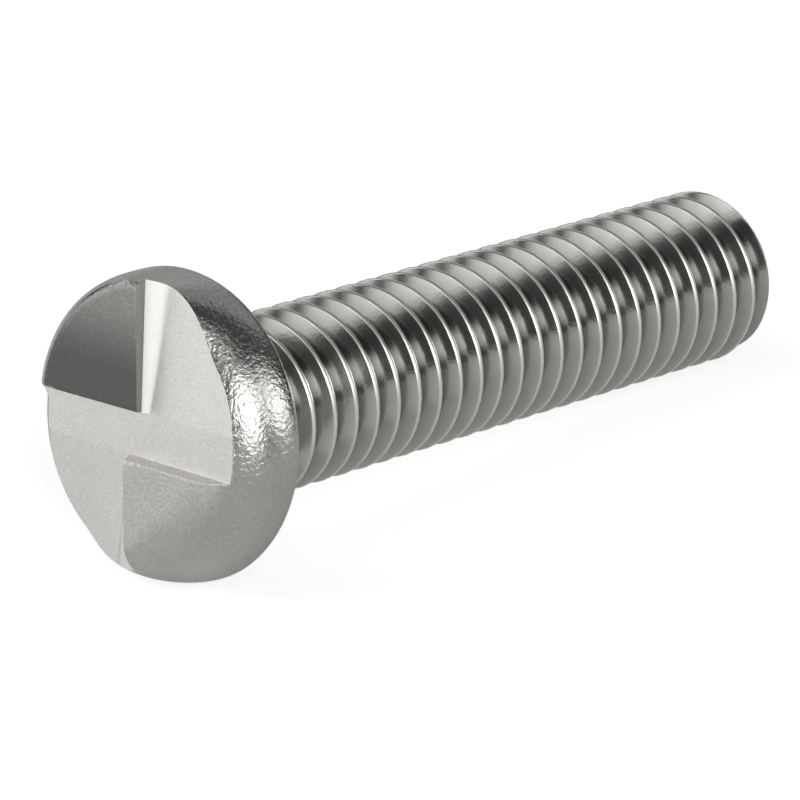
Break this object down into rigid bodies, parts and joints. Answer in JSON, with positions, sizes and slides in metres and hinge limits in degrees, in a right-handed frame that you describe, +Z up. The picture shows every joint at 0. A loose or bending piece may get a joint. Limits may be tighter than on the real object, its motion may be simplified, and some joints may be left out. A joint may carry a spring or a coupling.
{
  "type": "one-way security screw",
  "caption": "One-way slotted security machine screw: low rounded head that can be driven in but not backed out, full-length thread, chamfered tip.",
  "frame": {"origin": "centre of the flat seat under the head, where the head meets the thread; the screw lies on its side, so the surface it rests on is lower, at the head rim", "axes": "+Z up; the screw's axis lies in the XZ plane and points towards the tip along +X, tipped down by the few degrees at which it rests on its head rim and its thread"},
  "size_m": [0.0232, 0.008, 0.0081],
  "materials": {
    "steel": "satin stainless steel, matt on the pressed recess and brighter on the thread"
  },
  "bodies": {
    "root": {"security_screw": "steel"}
  },
  "joints": []
}
